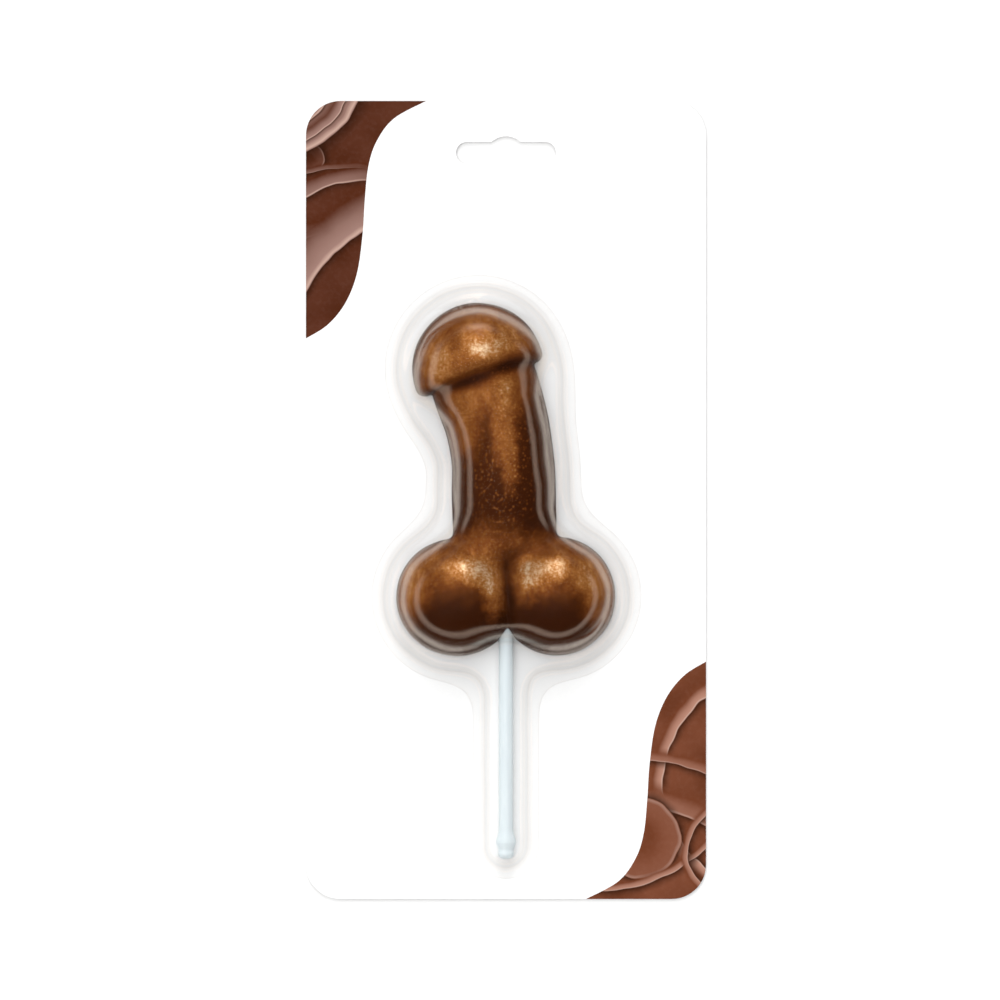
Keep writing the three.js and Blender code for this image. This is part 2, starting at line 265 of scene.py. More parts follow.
def waviness(x, y, z, length, seed):
    """Soft lumps about that long, between -1 and 1, from sine waves that never line up."""
    total = 0
    for index in range(WAVE_COUNT):
        angle = seed + index * WAVE_TURN
        pitch = 2 * math.pi / (length * (1 + WAVE_GROWTH * index))
        lean = WAVE_LEAN * math.sin(WAVE_LEAN_TURN * angle)
        wave = x * math.cos(angle) + y * math.sin(angle) + z * lean
        total = total + np.sin(pitch * wave + WAVE_SHIFT * angle)
    return total / WAVE_COUNT


def capsule_distance(x, y, z, from_y, to_y, radius, height):
    held = np.clip(y, from_y, to_y)
    return np.sqrt(x**2 + (y - held) ** 2 + (z - height) ** 2) - radius


def chocolate_field(x, y, z):
    lumps = waviness(x, y, z, CHOCOLATE_WAVE_LENGTH, CHOCOLATE_WAVE_SEED)
    form = moulding_field(x, y, z) + CHOCOLATE_WAVES * lumps
    socket_end = CROTCH_Y + STICK_SOCKET_DEPTH
    socket = capsule_distance(x, y, z, STICK_END_Y, socket_end, STICK_RADIUS + SOCKET_ROOM, STICK_Z)
    return smooth_max(smooth_max(form, CHOCOLATE_SEAT - z, SEAT_ROUNDING), -socket, SOCKET_ROUNDING)


def outline_distance(x, y):
    """Distance outside the lollipop's outline as seen from the front, with rounded inner corners."""
    stick_foot = STICK_END_Y + STICK_RADIUS + CHANNEL_END_ROOM
    stick = np.hypot(x, y - np.clip(y, stick_foot, CROTCH_Y)) - STICK_RADIUS
    lobes = np.minimum(*[
        np.hypot(x - lobe["x"], y - lobe["y"]) - (lobe["half_width"] + lobe["half_length"]) / 2
        for lobe in LOBES
    ])
    crown = np.hypot(x - CROWN_X, y - CROWN_Y) - CROWN_RADIUS
    across, beyond, half_width, _ = along_spine(x, y)
    column = np.hypot(across, beyond) - half_width
    body = smooth_min(np.minimum(lobes, crown), column, BODY_BLEND)
    return smooth_min(body, stick, CHANNEL_BLEND)


def film_field(x, y, z):
    """The film's outer face: the cavity over the moulding, a ledge round it and a flange flat on the card."""
    flange_top = FILM_SEAT + FILM_THICKNESS
    wall = outline_distance(x, y) - LEDGE_FOOT_OFFSET + LEDGE_WALL_SLOPE * (z - flange_top)
    top = z - LEDGE_TOP
    radius = LEDGE_SHOULDER_RADIUS
    rounded = np.hypot(np.maximum(wall + radius, 0), np.maximum(top + radius, 0))
    ledge = np.minimum(np.maximum(wall, top), -radius) + rounded
    cavity = moulding_field(x, y, z, CAVITY_FILLETS) - CAVITY_CLEARANCE - FILM_THICKNESS
    lumps = waviness(x, y, z, FILM_WAVE_LENGTH, FILM_WAVE_SEED)
    formed = smooth_min(ledge, cavity, CAVITY_FOOT_FILLET) + FILM_WAVES * lumps
    return smooth_min(formed, z - flange_top, FLANGE_FILLET)


# Meshes

def slope_of(field, points):
    """A field's gradient at points, by small steps each way."""
    step = SLOPE_STEP
    x, y, z = points.T
    return np.stack([
        field(x + step, y, z) - field(x - step, y, z),
        field(x, y + step, z) - field(x, y - step, z),
        field(x, y, z + step) - field(x, y, z - step),
    ], axis=1) / (2 * step)


def surface_of(field, low, high, step):
    """Where a field crosses zero inside a box: points and four-sided faces that look outwards."""
    axes = [np.arange(a, b + step, step) for a, b in zip(low, high)]
    x = axes[0][:, None, None]
    y = axes[1][None, :, None]
    z = axes[2][None, None, :]
    values = field(x, y, z) + np.zeros([len(axis) for axis in axes])
    inside = values < 0
    cells = [len(axis) - 1 for axis in axes]
    total = np.zeros(cells + [3])
    crossings = np.zeros(cells)
    for direction in range(3):
        sides = [d for d in range(3) if d != direction]
        for first in (0, 1):
            for second in (0, 1):
                offset = [0, 0, 0]
                offset[sides[0]] = first
                offset[sides[1]] = second
                start = tuple(slice(o, o + n) for o, n in zip(offset, cells))
                offset[direction] = 1
                end = tuple(slice(o, o + n) for o, n in zip(offset, cells))
                offset[direction] = 0
                a = values[start]
                b = values[end]
                crossed = inside[start] != inside[end]
                t = np.where(crossed, a / np.where(crossed, a - b, 1), 0)
                for d in range(3):
                    total[..., d] += crossed * (offset[d] + (t if d == direction else 0))
                crossings += crossed
    used = crossings > 0
    number = np.full(cells, -1)
    number[used] = np.arange(used.sum())
    corner = np.stack(np.nonzero(used), axis=1)
    points = (corner + total[used] / crossings[used][:, None]) * step + np.asarray(low)
    faces = []
    for direction in range(3):
        u, v = [(direction + k) % 3 for k in (1, 2)]
        lower = [slice(1, n) for n in cells]
        lower[direction] = slice(0, cells[direction])
        upper = list(lower)
        upper[direction] = slice(1, cells[direction] + 1)
        a = inside[tuple(lower)]
        b = inside[tuple(upper)]
        place = np.stack(np.nonzero(a != b), axis=1)
        place[:, u] += 1
        place[:, v] += 1
        outward = a[a != b]
        quad = []
        for back_u, back_v in ((1, 1), (0, 1), (0, 0), (1, 0)):
            at = place.copy()
            at[:, u] -= back_u
            at[:, v] -= back_v
            quad.append(number[at[:, 0], at[:, 1], at[:, 2]])
        quad = np.stack(quad, axis=1)
        quad[~outward] = quad[~outward][:, ::-1]
        faces.append(quad)
    faces = np.concatenate(faces)
    for _ in range(SURFACE_PASSES):
        slope = slope_of(field, points)
        steep = np.maximum((slope**2).sum(axis=1), LEAST_STEEPNESS)
        move = -slope * (field(*points.T) / steep)[:, None]
        points = points + np.clip(move, -step, step)
    return points, faces


def mesh_piece(name, points, faces, material, smooth=True):
    """A mesh object from points in millimetres."""
    mesh = bpy.data.meshes.new(name)
    mesh.from_pydata((np.asarray(points) * MM).tolist(), [], [list(map(int, face)) for face in faces])
    mesh.polygons.foreach_set("use_smooth", [smooth] * len(mesh.polygons))
    mesh.materials.append(material)
    mesh.update()
    piece = bpy.data.objects.new(name, mesh)
    bpy.context.scene.collection.objects.link(piece)
    return piece


def turned(profile, sides):
    """Points and faces of a lathe shape about Y from (radius, along) pairs, closed at both ends."""
    points = [(0, profile[0][1], 0)]
    for radius, along in profile[1:-1]:
        for i in range(sides):
            angle = 2 * math.pi * i / sides
            points.append((radius * math.sin(angle), along, radius * math.cos(angle)))
    points.append((0, profile[-1][1], 0))
    rings = len(profile) - 2
    faces = []
    for i in range(sides):
        j = (i + 1) % sides
        faces.append((0, 1 + j, 1 + i))
        for ring in range(rings - 1):
            a = 1 + ring * sides
            b = a + sides
            faces.append((a + i, a + j, b + j, b + i))
        top = 1 + (rings - 1) * sides
        faces.append((len(points) - 1, top + i, top + j))
    return np.array(points), faces


# Materials

def new_material(name):
    material = bpy.data.materials.new(name)
    material.use_nodes = True
    material.node_tree.nodes.clear()
    return material


def add(tree, kind, inputs=None, **settings):
    """Adds a shader node. An input is a value, or a socket to link."""
    node = tree.nodes.new(kind)
    for key, value in settings.items():
        setattr(node, key, value)
    for key, value in (inputs or {}).items():
        if isinstance(value, bpy.types.NodeSocket):
            tree.links.new(value, node.inputs[key])
        else:
            node.inputs[key].default_value = value
    return node


def finish_material(tree, shader):
    output = add(tree, "ShaderNodeOutputMaterial")
    tree.links.new(shader.outputs[0], output.inputs["Surface"])


def math_node(tree, operation, a, b=0.0, clamp=False):
    node = add(tree, "ShaderNodeMath", {0: a, 1: b}, operation=operation)
    node.use_clamp = clamp
    return node.outputs[0]


def scaled_sum(tree, value, scale, plus):
    """value times scale, plus a number."""
    node = add(tree, "ShaderNodeMath", {0: value, 1: scale, 2: plus}, operation="MULTIPLY_ADD")
    return node.outputs[0]


def vector_node(tree, operation, a, b):
    return add(tree, "ShaderNodeVectorMath", {0: a, 1: b}, operation=operation).outputs[0]


def mix_colour(tree, factor, a, b):
    node = add(tree, "ShaderNodeMix", data_type="RGBA")
    for index, value in ((0, factor), (6, a), (7, b)):
        if isinstance(value, bpy.types.NodeSocket):
            tree.links.new(value, node.inputs[index])
        else:
            node.inputs[index].default_value = value
    return node.outputs[2]


def remap(tree, value, low, high, to_low=0.0, to_high=1.0, smooth=False):
    node = add(tree, "ShaderNodeMapRange", {
        "Value": value, "From Min": low, "From Max": high, "To Min": to_low, "To Max": to_high,
    }, interpolation_type="SMOOTHSTEP" if smooth else "LINEAR")
    return node.outputs["Result"]


def object_place(tree, scale=(1, 1, 1)):
    coordinates = add(tree, "ShaderNodeTexCoord").outputs["Object"]
    return add(tree, "ShaderNodeMapping", {"Vector": coordinates, "Scale": scale}).outputs["Vector"]


MIDDLE_GREY = (0.5, 0.5, 0.5)


def wandered(tree, place, reach, noise_settings):
    """A place moved about by soft noise, by up to half of the reach each way."""
    noise = add(tree, "ShaderNodeTexNoise", {"Vector": place, **noise_settings})
    centred = vector_node(tree, "SUBTRACT", noise.outputs["Color"], MIDDLE_GREY)
    return vector_node(tree, "ADD", place, vector_node(tree, "MULTIPLY", centred, reach))


# Where a brush left lustre dust, with painted highlights in it: the patches sit where highlights and lit
# upper slopes fall. The middle of each soft patch, its half sizes and how much dust it carries.
DUST_AND_HIGHLIGHT_PATCHES = [
    {"x": -6, "y": 38, "wide": 23, "long": 20, "amount": 0.24},
    {"x": -3.5, "y": 43, "wide": 18, "long": 7, "amount": 0.07},
    {"x": -6.5, "y": 38.5, "wide": 10, "long": 6, "amount": 0.08},
    {"x": -5.9, "y": 38.2, "wide": 4.5, "long": 3.4, "amount": 0.24},
    {"x": -17.5, "y": 33, "wide": 6, "long": 9, "amount": 0.30},
    {"x": -1.5, "y": 28, "wide": 8, "long": 8, "amount": 0.16},
    {"x": -10.5, "y": 21, "wide": 6, "long": 13, "amount": 0.26},
    {"x": -3, "y": 12, "wide": 11, "long": 20, "amount": 0.03},
    {"x": -0.6, "y": 19, "wide": 4.4, "long": 12, "amount": 0.28},
    {"x": 0.9, "y": 8, "wide": 2.8, "long": 8, "amount": 0.19},
    {"x": -2.5, "y": -9, "wide": 8, "long": 7, "amount": 0.08},
    {"x": -13, "y": -16, "wide": 20, "long": 10.5, "amount": 0.30},
    {"x": 13, "y": -16, "wide": 18, "long": 10.5, "amount": 0.30},
    {"x": -9.5, "y": -18, "wide": 8, "long": 4.5, "amount": 0.30},
    {"x": 8.8, "y": -17, "wide": 7.5, "long": 4.5, "amount": 0.34},
    {"x": 24, "y": -22, "wide": 7, "long": 12, "amount": 0.29},
    {"x": -25, "y": -22, "wide": 7, "long": 12, "amount": 0.32},
    {"x": -3, "y": -22.5, "wide": 4, "long": 8, "amount": 0.36},
    {"x": 4.6, "y": -20.5, "wide": 3.6, "long": 7, "amount": 0.27},
    {"x": 17.5, "y": -18.5, "wide": 6, "long": 5, "amount": 0.09},
    {"x": 1.5, "y": 40, "wide": 6, "long": 6, "amount": 0.08},
]
# Painted shade: patches where the dust is taken away so that the chocolate shows dark under the crown's edge,
# at the column's foot and between and below the lobes' tops. An angle in degrees turns some of these patches.
PAINTED_SHADE_PATCHES = [
    {"x": -9, "y": 29.7, "wide": 16, "long": 2.8, "turn": 19, "amount": 1.0},
    {"x": 3, "y": 34.6, "wide": 9, "long": 3.2, "turn": 10, "amount": 0.75},
    {"x": 8, "y": -13, "wide": 6, "long": 4, "amount": 0.45},
    {"x": 1, "y": -14, "wide": 4, "long": 6, "amount": 0.6},
    {"x": 0.7, "y": -24, "wide": 1.6, "long": 10, "turn": 5, "amount": 1.0},
    {"x": -13, "y": -27, "wide": 9, "long": 5, "amount": 0.5},
    {"x": 12, "y": -28, "wide": 9, "long": 5, "amount": 0.5},
]
PATCH_CORE = 0.1
PATCH_EDGE = 1.15
LUSTRE_EVERYWHERE = 0.010
# Where loose dust lies as fine dots
SPATTER_PATCHES = [
    {"x": -1.5, "y": 8, "wide": 13, "long": 30, "amount": 0.28},
]
RAGGED_EDGE = (5, 9, 0)
RAGGED_NOISE = {"Scale": 0.3, "Detail": 5, "Roughness": 0.65}
# Textures run in metres here, so their scales count repeats in a metre
STREAK_STRETCH = (1, 0.45, 1)
STREAK_NOISE = {"Scale": 260, "Detail": 4, "Roughness": 0.62}
GRAIN_NOISE = {"Scale": 1500, "Detail": 3, "Roughness": 0.7}
FLAKE_CELLS = {"Scale": 2900, "Randomness": 1.0}
DOT_CELLS = {"Scale": 1250, "Randomness": 1.0}
FLAKE_TILT = 0.13
CHOCOLATE_BASE = (0.029, 0.0068, 0.0017)
BRONZE_DUST = (0.70, 0.165, 0.016)
GOLD_DUST = (0.88, 0.60, 0.21)
# Painted highlight: a paler gold that the metal turns to where the dust is thickest, at the highlight patches
PAINTED_HIGHLIGHT_GOLD = (0.95, 0.80, 0.60)


def soft_patches(tree, place, patches):
    """The sum of soft-edged oval patches, each strongest in its middle."""
    total = 0.0
    for patch in patches:
        local = add(tree, "ShaderNodeMapping", {
            "Vector": place,
            "Location": (patch["x"], patch["y"], 0),
            "Rotation": (0, 0, math.radians(patch.get("turn", 0))),
            "Scale": (patch["wide"], patch["long"], 1),
        }, vector_type="TEXTURE")
        away = add(tree, "ShaderNodeVectorMath", {0: local.outputs[0]}, operation="LENGTH").outputs["Value"]
        share = remap(tree, away, PATCH_CORE, PATCH_EDGE, patch["amount"], 0.0, smooth=True)
        total = math_node(tree, "ADD", share, total)
    return total


def lustre_with_painted_light(tree):
    """How much dust lies at a place, with painted light in it: ragged brushed patches that also paint
    highlights, over a faint film, less the patches of painted shade.
    """
    place = object_place(tree, (1 / MM, 1 / MM, 0))
    brushed = wandered(tree, place, RAGGED_EDGE, RAGGED_NOISE)
    # Painted highlights: dust heaped where highlights and lit slopes fall
    dust_and_highlights = math_node(tree, "ADD", soft_patches(tree, brushed, DUST_AND_HIGHLIGHT_PATCHES), LUSTRE_EVERYWHERE)
    # Painted shade: dust taken away in creases, at the column's foot and below the lobes' tops
    painted_shade = math_node(tree, "SUBTRACT", 1.0, soft_patches(tree, place, PAINTED_SHADE_PATCHES), clamp=True)
    return math_node(tree, "MULTIPLY", dust_and_highlights, painted_shade)


def chocolate_material():
    """Dark chocolate under brushed gold and bronze lustre dust, whose patches also paint highlights and
    shade: more dust where light falls, less in creases and on upright walls, and a paler gold at the
    highlights. Each flake of it is tilted its own way.
    """
    material = new_material("chocolate_lustre")
    tree = material.node_tree
    place = object_place(tree)
    drawn_out = object_place(tree, STREAK_STRETCH)
    patches = add(tree, "ShaderNodeTexNoise", {"Vector": drawn_out, **STREAK_NOISE})
    grain = add(tree, "ShaderNodeTexNoise", {"Vector": place, **GRAIN_NOISE})
    flakes = add(tree, "ShaderNodeTexVoronoi", {"Vector": place, **FLAKE_CELLS})
    patch = remap(tree, patches.outputs["Fac"], 0.36, 0.64)
    speck = remap(tree, grain.outputs["Fac"], 0.36, 0.66)
    flake = add(tree, "ShaderNodeSeparateColor", {"Color": flakes.outputs["Color"]})
    geometry = add(tree, "ShaderNodeNewGeometry")
    upward = add(tree, "ShaderNodeSeparateXYZ", {"Vector": geometry.outputs["Normal"]}).outputs["Z"]
    # Partly dust on the upper faces, partly painted shade: dust thins out on steep sides, so upright walls
    # and the outline stay dark chocolate
    upward_dust_and_side_shade = remap(tree, upward, 0.15, 0.40)
    # This share is dust together with painted highlights and painted shade
    dust_and_painted_light = math_node(tree, "MULTIPLY", lustre_with_painted_light(tree), scaled_sum(tree, patch, 0.5, 0.71))
    dust_and_painted_light = math_node(tree, "MULTIPLY", dust_and_painted_light, scaled_sum(tree, speck, 0.44, 0.73))
    cells = add(tree, "ShaderNodeTexVoronoi", {"Vector": place, **DOT_CELLS})
    chosen = add(tree, "ShaderNodeSeparateColor", {"Color": cells.outputs["Color"]}).outputs["Blue"]
    dot = remap(tree, cells.outputs["Distance"], 0.14, 0.46, 1.0, 0.0)
    dots = math_node(tree, "MULTIPLY", dot, remap(tree, chosen, 0.3, 0.9))
    spattered = soft_patches(tree, object_place(tree, (1 / MM, 1 / MM, 0)), SPATTER_PATCHES)
    dust_and_painted_light = math_node(tree, "ADD", dust_and_painted_light, math_node(tree, "MULTIPLY", dots, spattered))
    dust_and_painted_light = math_node(tree, "MULTIPLY", dust_and_painted_light, upward_dust_and_side_shade, clamp=True)
    flake_share = scaled_sum(tree, flake.outputs["Green"], 0.3, 0.65)
    golden = math_node(tree, "MULTIPLY", dust_and_painted_light, flake_share, clamp=True)
    gold = mix_colour(tree, golden, (*BRONZE_DUST, 1), (*GOLD_DUST, 1))
    # Painted highlight: where the dust is thickest the gold turns pale
    gold = mix_colour(tree, remap(tree, dust_and_painted_light, 0.40, 0.95), gold, (*PAINTED_HIGHLIGHT_GOLD, 1))
    colour = mix_colour(tree, dust_and_painted_light, (*CHOCOLATE_BASE, 1), gold)
    metal = math_node(tree, "MULTIPLY", dust_and_painted_light, 0.9, clamp=True)
    rough = remap(tree, flake.outputs["Red"], 0, 1, 0.33, 0.42)
    tilt = vector_node(tree, "SUBTRACT", flakes.outputs["Color"], MIDDLE_GREY)
    tilt = add(tree, "ShaderNodeVectorMath", {0: tilt, "Scale": FLAKE_TILT}, operation="SCALE")
    tilted = vector_node(tree, "ADD", geometry.outputs["Normal"], tilt.outputs[0])
    tilted = add(tree, "ShaderNodeVectorMath", {0: tilted}, operation="NORMALIZE")
    bump = add(tree, "ShaderNodeBump", {
        "Strength": 0.35, "Distance": 0.00008, "Height": grain.outputs["Fac"], "Normal": tilted.outputs[0],
    })
    shader = add(tree, "ShaderNodeBsdfPrincipled", {
        "Base Color": colour,
        "Metallic": metal,
        "Roughness": rough,
        "Normal": bump.outputs["Normal"],
        "IOR": 1.3,
        "Specular IOR Level": 0.05,
    })
    finish_material(tree, shader)
    return material


def ramp(tree, factor, stops):
    """A colour ramp. Each stop is a place from 0 to 1 and a grey level or a colour."""
    node = add(tree, "ShaderNodeValToRGB", {"Fac": factor})
    elements = node.color_ramp.elements
    while len(elements) < len(stops):
        elements.new(1.0)
    for element, (place, value) in zip(elements, stops):
        element.position = place
        element.color = (*value, 1) if isinstance(value, tuple) else (value, value, value, 1)
    return node.outputs["Color"]


WARM_SHEEN = (1.0, 0.78, 0.62)
WHITE_SHEEN = (1.0, 0.88, 0.77)
FILM_GLOSS_ROUGHNESS = 0.07
# By how far the film turns from the eye, from 0 square on to 1 edge on: what share it mirrors, how much light
# it lets through, and the colour of what it mirrors
FILM_MIRRORED = [
    (0.0, 0.001), (0.145, 0.002), (0.165, 0.012), (0.195, 0.034), (0.22, 0.034), (0.25, 0.019), (0.29, 0.010),
    (0.35, 0.013), (0.39, 0.07), (0.43, 0.165), (0.49, 0.175), (0.53, 0.08), (0.57, 0.010), (1.0, 0.006),
]
FILM_CLEAR = [
    (0.0, 0.980), (0.08, 0.976), (0.3, 0.948), (0.6, 0.92), (0.78, 0.90), (0.88, 0.87), (0.95, 0.78),
    (1.0, 0.6),
]
FILM_SHEEN = [(0.0, WARM_SHEEN), (0.32, WARM_SHEEN), (0.40, WHITE_SHEEN), (1.0, WHITE_SHEEN)]


def film_material():
    """Clear glossy film. What it mirrors and how much it greys change as its walls turn away from the eye."""
    material = new_material("clear_film")
    tree = material.node_tree
    facing = add(tree, "ShaderNodeLayerWeight", {"Blend": 0.5}).outputs["Facing"]
    mirrored = ramp(tree, facing, FILM_MIRRORED)
    clear = ramp(tree, facing, FILM_CLEAR)
    sheen = ramp(tree, facing, FILM_SHEEN)
    through = add(tree, "ShaderNodeBsdfTransparent", {"Color": clear})
    gloss = add(tree, "ShaderNodeBsdfGlossy", {"Color": sheen, "Roughness": FILM_GLOSS_ROUGHNESS})
    shader = add(tree, "ShaderNodeMixShader", {0: mirrored, 1: through.outputs[0], 2: gloss.outputs[0]})
    finish_material(tree, shader)
    return material


STICK_SHADE = (0.61, 0.68, 0.71)
STICK_LIGHT = (0.71, 0.78, 0.80)
STICK_STRETCH = (1, 0.08, 1)
STICK_GLOW_DEPTH = (0.002, 0.002, 0.002)


def stick_material():
    material = new_material("stick_plastic")
    tree = material.node_tree
    place = object_place(tree, STICK_STRETCH)
    streaks = add(tree, "ShaderNodeTexNoise", {"Vector": place, "Scale": 1400, "Detail": 2})
    height = streaks.outputs["Fac"]
    colour = mix_colour(tree, height, (*STICK_SHADE, 1), (*STICK_LIGHT, 1))
    bump = add(tree, "ShaderNodeBump", {"Strength": 0.15, "Distance": 0.00004, "Height": height})
    shader = add(tree, "ShaderNodeBsdfPrincipled", {
        "Base Color": colour,
        "Roughness": 0.32,
        "Specular IOR Level": 0.25,
        "Normal": bump.outputs["Normal"],
        "Subsurface Weight": 0.2,
        "Subsurface Radius": STICK_GLOW_DEPTH,
    })
    finish_material(tree, shader)
    return material


CARD_SHADE = (0.845, 0.845, 0.842)
CARD_WHITE = (0.885, 0.885, 0.882)
CARD_CUT_EDGE = (0.30, 0.29, 0.275)


def card_material():
    """White coated board in front and at the back, with a greyer cut edge."""
    material = new_material("coated_card")
    tree = material.node_tree
    place = object_place(tree)
    fibre = add(tree, "ShaderNodeTexNoise", {"Vector": place, "Scale": 1500, "Detail": 3})
    normal = add(tree, "ShaderNodeNewGeometry").outputs["Normal"]
    facing = add(tree, "ShaderNodeSeparateXYZ", {"Vector": normal})
    flat = math_node(tree, "ABSOLUTE", facing.outputs["Z"])
    height = fibre.outputs["Fac"]
    coated = mix_colour(tree, height, (*CARD_SHADE, 1), (*CARD_WHITE, 1))
    colour = mix_colour(tree, flat, (*CARD_CUT_EDGE, 1), coated)
    bump = add(tree, "ShaderNodeBump", {"Strength": 0.1, "Distance": 0.00003, "Height": height})
    shader = add(tree, "ShaderNodeBsdfPrincipled", {
        "Base Color": colour,
        "Roughness": 0.42,
        "Normal": bump.outputs["Normal"],
    })
    finish_material(tree, shader)
    return material


# Printed browns: each field's own brown and its pale stroke, then the ridges and dark folds that both share
PRINT_UPPER = (0.085, 0.021, 0.008)
PRINT_UPPER_LIGHT = (0.30, 0.175, 0.145)
PRINT_LOWER = (0.158, 0.045, 0.0195)
PRINT_LOWER_LIGHT = (0.42, 0.22, 0.16)
PRINT_RIDGE = (0.50, 0.33, 0.27)
PRINT_DARK = (0.024, 0.007, 0.003)

# Strokes of a spreading knife, printed. Each is an arc's centre and radius, which side of it the swept body
# lies on (1 inside, -1 outside), how deep the body shows before it fades, and how pale its body is. Some give
# the width of the dark fold beside them.
UPPER_STROKES = [
    {"centre": (-49, 85.5), "radius": 3.6, "side": 1, "depth": 3, "pale": 0.12},
    {"centre": (-40, 45), "radius": 38, "side": -1, "depth": 1.2, "pale": 0.45},
    {"centre": (-35.5, 50), "radius": 29.6, "side": -1, "depth": 3.4, "pale": 0.7},
    {"centre": (-29.6, 8.7), "radius": 60, "side": -1, "depth": 3.6, "pale": 0.8},
    {"centre": (-15.4, 33.3), "radius": 39.4, "side": -1, "depth": 8.5, "pale": 1.0},
    {"centre": (-62, 112), "radius": 28, "side": 1, "depth": 11, "pale": 0.75, "shade": 4.0},
    {"centre": (-64, 113), "radius": 27.4, "side": 1, "depth": 2.4, "pale": 1.0, "shade": 0.8},
    {"centre": (-66, 114), "radius": 25.6, "side": 1, "depth": 4.0, "pale": 0.9, "shade": 0.6},
]
LOWER_STROKES = [
    {"centre": (65.9, -70.8), "radius": 26.6, "side": -1, "depth": 2.6, "pale": 0.9},
    {"centre": (32.1, -109.5), "radius": 44.7, "side": -1, "depth": 2.2, "pale": 0.4},
    {"centre": (31, -113), "radius": 36.5, "side": -1, "depth": 4.5, "pale": 0.35},
    {"centre": (33.5, -84.5), "radius": 10.2, "side": 1, "depth": 7, "pale": 0.15},
    {"centre": (24, -60), "radius": 37.6, "side": 1, "depth": 1.5, "pale": 0.8},
    {"centre": (56.5, -88), "radius": 11, "side": -1, "depth": 1.4, "pale": 0.7},
]
STROKE_SHADE_WIDTH = 2.0
STROKE_SHADE_POWER = 1.4
STROKE_SHADE_DEPTH = 0.92
STROKE_WANDER = (1.5, 1.5, 0)
WANDER_NOISE = {"Scale": 0.16, "Detail": 1, "Roughness": 0.5}
CLOUD_NOISE = {"Scale": 0.09, "Detail": 1}
WEAR_NOISE = {"Scale": 0.8, "Detail": 2, "Roughness": 0.5}


def blended(a, b, share):
    return tuple(p + (q - p) * share for p, q in zip(a, b))


def spread_material(name, base, light, strokes):
    """A printed field of brown spread: overlapping knife strokes with pale ridges and dark undersides."""
    material = new_material(name)
    tree = material.node_tree
    flat = object_place(tree, (1 / MM, 1 / MM, 0))
    place = wandered(tree, flat, STROKE_WANDER, WANDER_NOISE)
    clouds = add(tree, "ShaderNodeTexNoise", {"Vector": place, **CLOUD_NOISE})
    streaks = add(tree, "ShaderNodeTexNoise", {"Vector": place, **WEAR_NOISE})
    low = (*blended(base, PRINT_DARK, 0.3), 1)
    high = (*blended(base, light, 0.06), 1)
    colour = mix_colour(tree, remap(tree, clouds.outputs["Fac"], 0.3, 0.7), low, high)
    for stroke in strokes:
        away = add(tree, "ShaderNodeVectorMath", {0: place, 1: (*stroke["centre"], 0)}, operation="DISTANCE")
        side = stroke["side"]
        inward = scaled_sum(tree, away.outputs["Value"], -side, side * stroke["radius"])
        depth = stroke["depth"]
        shade_width = stroke.get("shade", STROKE_SHADE_WIDTH)
        under = math_node(tree, "POWER", remap(tree, inward, -shade_width, 0.0), STROKE_SHADE_POWER)
        under = math_node(tree, "MULTIPLY", under, remap(tree, inward, 0.0, 0.12, STROKE_SHADE_DEPTH, 0.0))
        colour = mix_colour(tree, under, colour, (*PRINT_DARK, 1))
        pale = stroke["pale"]
        tone = ramp(tree, remap(tree, inward, 0, depth), [
            (0.0, blended(base, light, pale)),
            (0.05, blended(base, PRINT_RIDGE, min(1.0, pale + 0.25))),
            (0.16, blended(base, light, pale)),
            (0.5, blended(base, light, pale * 0.7)),
            (1.0, blended(base, PRINT_DARK, 0.12)),
        ])
        body = remap(tree, inward, -0.1, 0.15)
        fade = remap(tree, inward, depth * 0.7, depth * 1.7, 1.0, 0.0, smooth=True)
        colour = mix_colour(tree, math_node(tree, "MULTIPLY", body, fade), colour, tone)
    wear = remap(tree, streaks.outputs["Fac"], 0.45, 0.8, 0.0, 0.05)
    worn = mix_colour(tree, wear, colour, (*light, 1))
    shader = add(tree, "ShaderNodeBsdfPrincipled", {
        "Base Color": worn, "Roughness": 0.6, "Specular IOR Level": 0.0,
    })
    finish_material(tree, shader)
    return material


FLOOR_COLOUR = (0.90, 0.90, 0.90)


def floor_material():
    material = new_material("pale_floor")
    tree = material.node_tree
    shader = add(tree, "ShaderNodeBsdfPrincipled", {"Base Color": (*FLOOR_COLOUR, 1), "Roughness": 0.8})
    finish_material(tree, shader)
    return material


# Pieces

def make_chocolate():
    points, faces = surface_of(chocolate_field, CHOCOLATE_LOW, CHOCOLATE_HIGH, CHOCOLATE_CELL)
    piece = mesh_piece("chocolate_moulding", points, faces, chocolate_material())
    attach(piece, "root")
    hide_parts("chocolate")


def snap_to_flange(points, faces):
    """Keeps the faces inside the flange's outline and moves the ones at the rim onto it."""
    centre = points[faces].mean(axis=1)
    faces = faces[outline_distance(centre[:, 0], centre[:, 1]) < FLANGE_OFFSET]
    used, faces = np.unique(faces, return_inverse=True)
    points = points[used]
    faces = faces.reshape(-1, 4)
    edges = np.concatenate([faces[:, [k, (k + 1) % 4]] for k in range(4)])
    keys, counts = np.unique(np.sort(edges, axis=1), axis=0, return_counts=True)
    rim = np.unique(keys[counts == 1])
    x, y = points[rim, 0], points[rim, 1]
    step = SLOPE_STEP
    for _ in range(RIM_PASSES):
        slope_x = (outline_distance(x + step, y) - outline_distance(x - step, y)) / (2 * step)
        slope_y = (outline_distance(x, y + step) - outline_distance(x, y - step)) / (2 * step)
        short = (FLANGE_OFFSET - outline_distance(x, y)) / (slope_x**2 + slope_y**2)
        x = x + slope_x * short
        y = y + slope_y * short
    points[rim, 0] = x
    points[rim, 1] = y
    return points, faces, edges, keys[counts == 1]


